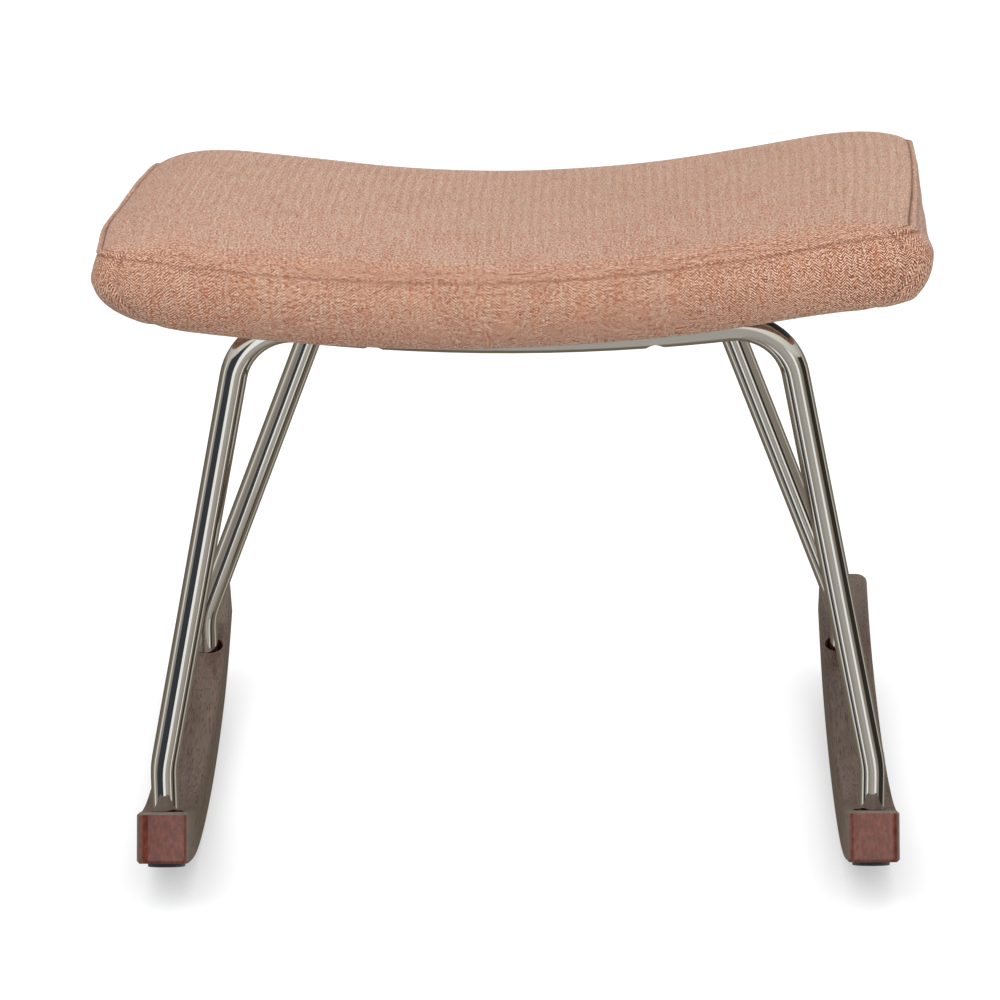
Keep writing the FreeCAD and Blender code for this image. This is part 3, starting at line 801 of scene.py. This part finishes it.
node_finish = {"rocker_left": "stained_wood", "rocker_right": "stained_wood", "glide_left": "felt",
               "glide_right": "felt", "front_frame": "chrome", "rear_frame": "chrome",
               "stub_plugs": "zinc_steel", "rocker_bolts": "zinc_steel", "rocker_washers": "zinc_steel",
               "seat_board": "plywood", "t_nuts": "zinc_steel", "bar_saddles": "black_plastic",
               "curved_washers": "zinc_steel", "seat_bolts": "zinc_steel", "dust_lining": "black_lining",
               "staples": "zinc_steel"}
for name, finish in node_finish.items():
    dress(nodes[name], finish)


# Studio, in metres

def grey(value, warmth=0.0):
    """A grey in linear light, browner above a warmth of 0 and bluer below it."""
    return (value * (1 + 0.25 * warmth), value, value * (1 - 0.35 * warmth), 1.0)


def ceiling_grey(value):
    """A slightly warm grey in linear light."""
    return (value, value * 0.97, value * 0.90, 1.0)


# What the chrome reflects round the horizon and above it, from behind at 0 by the left at 0.25, the front at
# 0.5 and the right at 0.75
horizon = [(0.0, grey(0.14, 0.7)), (0.12, grey(0.12, 0.8)), (0.23, grey(0.2, 0.5)), (0.26, grey(0.95)),
           (0.29, grey(0.30, 0.3)), (0.36, grey(0.22, 0.4)), (0.44, grey(0.30, 0.3)), (0.49, grey(0.40, 0.2)),
           (0.55, grey(0.42, 0.2)), (0.62, grey(0.30, 0.4)), (0.68, grey(0.17, 0.6)), (0.74, grey(0.12, 0.8)),
           (0.78, grey(0.14, 0.7)), (0.81, grey(0.6, 0.2)), (0.85, grey(0.16, 0.7)), (1.0, grey(0.14, 0.7))]
ceiling = [(0.0, ceiling_grey(0.25)), (0.5, ceiling_grey(0.9)), (1.0, ceiling_grey(0.25))]

# Upright panels close to the stool that only its chrome reflects, each from one place on the floor to another
panel_low = -0.5
panel_high = 0.42
reflected_panels = [("dark_panel_left", (-0.47, -0.34), (-0.275, -0.483), grey(0.05, -0.5)),
                    ("white_panel_left", (-0.32, -0.70), (-0.13, -0.70), grey(1.0)),
                    ("white_panel_right", (0.40, -0.66), (0.52, -0.60), grey(1.0)),
                    ("dark_panel_right", (0.427, -0.315), (0.45, -0.13), grey(0.03, 0.5))]

# Lamps: name, place, what they point at, size and power
lamps = [("key", (-1.1, -1.2, 2.2), (0, 0, 0.3), 1.4, 24.0),
         ("fill", (1.2, -2.0, 1.0), (0, 0, 0.3), 1.6, 18.0),
         ("back", (0.3, 1.5, 2.3), (0, 0, 0.4), 1.5, 17.0)]

floor_size = 12
painted_shadow_reach = 0.06      # how far from the stool the painted shadow darkens the floor
floor_paint = (0.3, 0.3, 0.3, 1.0)
floor_glow = 0.4               # what the camera sees of the floor close to the stool, beside its lit paint
open_glow = 0.5                # how much more it sees of the floor away from the stool, so a painted shadow stays close round it
floor_bounce = 0.22            # light that the floor throws back up
white_light = (1.0, 1.0, 1.0, 1.0)
ambient_light = (0.92, 0.95, 1.0, 1.0)
ambient_strength = 0.55


def add_floor():
    """A pale floor that keeps the shadow and a painted shadow close round the stool, shows white to the
    camera and isn't seen in reflections.
    """
    bpy.ops.object.select_all(action="DESELECT")
    bpy.ops.mesh.primitive_plane_add(size=floor_size)
    floor = bpy.context.object
    floor.name = "floor"
    paint = bpy.data.materials.new("floor")
    f = Finish(paint)
    seen = f.node("LightPath", output="Is Camera Ray")
    glossy = f.beside(seen, "Is Glossy Ray")
    # painted shadow: ambient occlusion dims what the camera sees of the floor close to the stool
    near = f.node("AmbientOcclusion", {"samples": 8}, {"Distance": painted_shadow_reach}, output="AO")
    matt = f.node("BsdfDiffuse", {}, {"Color": floor_paint})
    strength = seen * (f.ramp(near, 0.1, 1.0) * open_glow + floor_glow) + (1 - seen) * floor_bounce
    glow = f.node("Emission", {}, {"Color": white_light, "Strength": strength})
    lit = f.node("AddShader", {}, {0: matt, 1: glow})
    clear = f.node("BsdfTransparent")
    f.node("OutputMaterial", {}, {"Surface": f.node("MixShader", {}, {0: glossy, 1: lit, 2: clear})})
    floor.data.materials.append(paint)


def add_world():
    """White for the camera, a soft ambient light, and a panorama that only reflections see."""
    world = bpy.data.worlds.new("studio")
    bpy.context.scene.world = world
    w = Finish(world)
    seen = w.node("LightPath", output="Is Camera Ray")
    glossy = w.beside(seen, "Is Glossy Ray")
    sideways = w.part(w.node("TexCoord", output="Generated"), "X")
    forward = w.beside(sideways, "Y")
    upward = w.beside(sideways, "Z")
    turn = w.node("Math", {"operation": "ARCTAN2"}, {0: sideways, 1: 0.0 - forward}) / (2 * pi) + 0.5
    low = w.node("ValToRGB", {"stops": horizon}, {"Fac": turn})
    high = w.node("ValToRGB", {"stops": ceiling}, {"Fac": turn})
    around = w.mix(w.ramp(upward, -0.05, 0.25), low, high)
    ambient = w.node("Background", {}, {"Color": ambient_light, "Strength": ambient_strength})
    mirrored = w.node("Background", {}, {"Color": around, "Strength": 1.0})
    white = w.node("Background", {}, {"Color": white_light, "Strength": 1.0})
    unseen = w.node("MixShader", {}, {0: glossy, 1: ambient, 2: mirrored})
    w.node("OutputWorld", {}, {"Surface": w.node("MixShader", {}, {0: seen, 1: unseen, 2: white})})


def add_reflected_panel(name, first, last, tone):
    """An upright glowing panel that only reflections see."""
    bpy.ops.object.select_all(action="DESELECT")
    bpy.ops.mesh.primitive_plane_add(size=1)
    panel = bpy.context.object
    panel.name = name
    corners = [(first, panel_low), (last, panel_low), (first, panel_high), (last, panel_high)]
    for vertex, ((x, y), z) in zip(panel.data.vertices, corners):
        vertex.co = (x, y, z)
    panel.visible_camera = panel.visible_diffuse = panel.visible_shadow = panel.visible_transmission = False
    paint = bpy.data.materials.new(name)
    f = Finish(paint)
    f.node("OutputMaterial", {}, {"Surface": f.node("Emission", {}, {"Color": tone, "Strength": 1.0})})
    panel.data.materials.append(paint)


def add_lamp(name, place, aim, size, power):
    """A square lamp, which reflections don't show."""
    lamp = bpy.data.lights.new(name, "AREA")
    lamp.size = size
    lamp.energy = power
    holder = bpy.data.objects.new(name, lamp)
    holder.location = place
    holder.rotation_mode = "QUATERNION"
    holder.rotation_quaternion = (Vector(aim) - Vector(place)).to_track_quat("-Z", "Y")
    holder.visible_glossy = False
    bpy.context.scene.collection.objects.link(holder)


# Camera, as fitted to the photograph
camera_place = Vector((47.9, -3297.4, 1410.5)) * MM
camera_aim = Vector((-13.4, -9.0, 213.5)) * MM
camera_roll = radians(-0.556)
camera_lens = 182.9
camera_sensor = 36.0


def add_camera():
    """The camera at the photograph's place, angle and focal length."""
    lens = bpy.data.cameras.new("camera")
    lens.lens = camera_lens
    lens.sensor_width = camera_sensor
    lens.clip_start = 0.1
    lens.clip_end = 50.0
    holder = bpy.data.objects.new("camera", lens)
    holder.location = camera_place
    holder.rotation_mode = "QUATERNION"
    aim = (camera_aim - camera_place).to_track_quat("-Z", "Y")
    holder.rotation_quaternion = aim @ Quaternion((0.0, 0.0, 1.0), camera_roll)
    bpy.context.scene.collection.objects.link(holder)
    bpy.context.scene.camera = holder


add_floor()
add_world()
for panel in reflected_panels:
    add_reflected_panel(*panel)
for lamp in lamps:
    add_lamp(*lamp)
add_camera()
bpy.context.scene.view_settings.view_transform = "Standard"
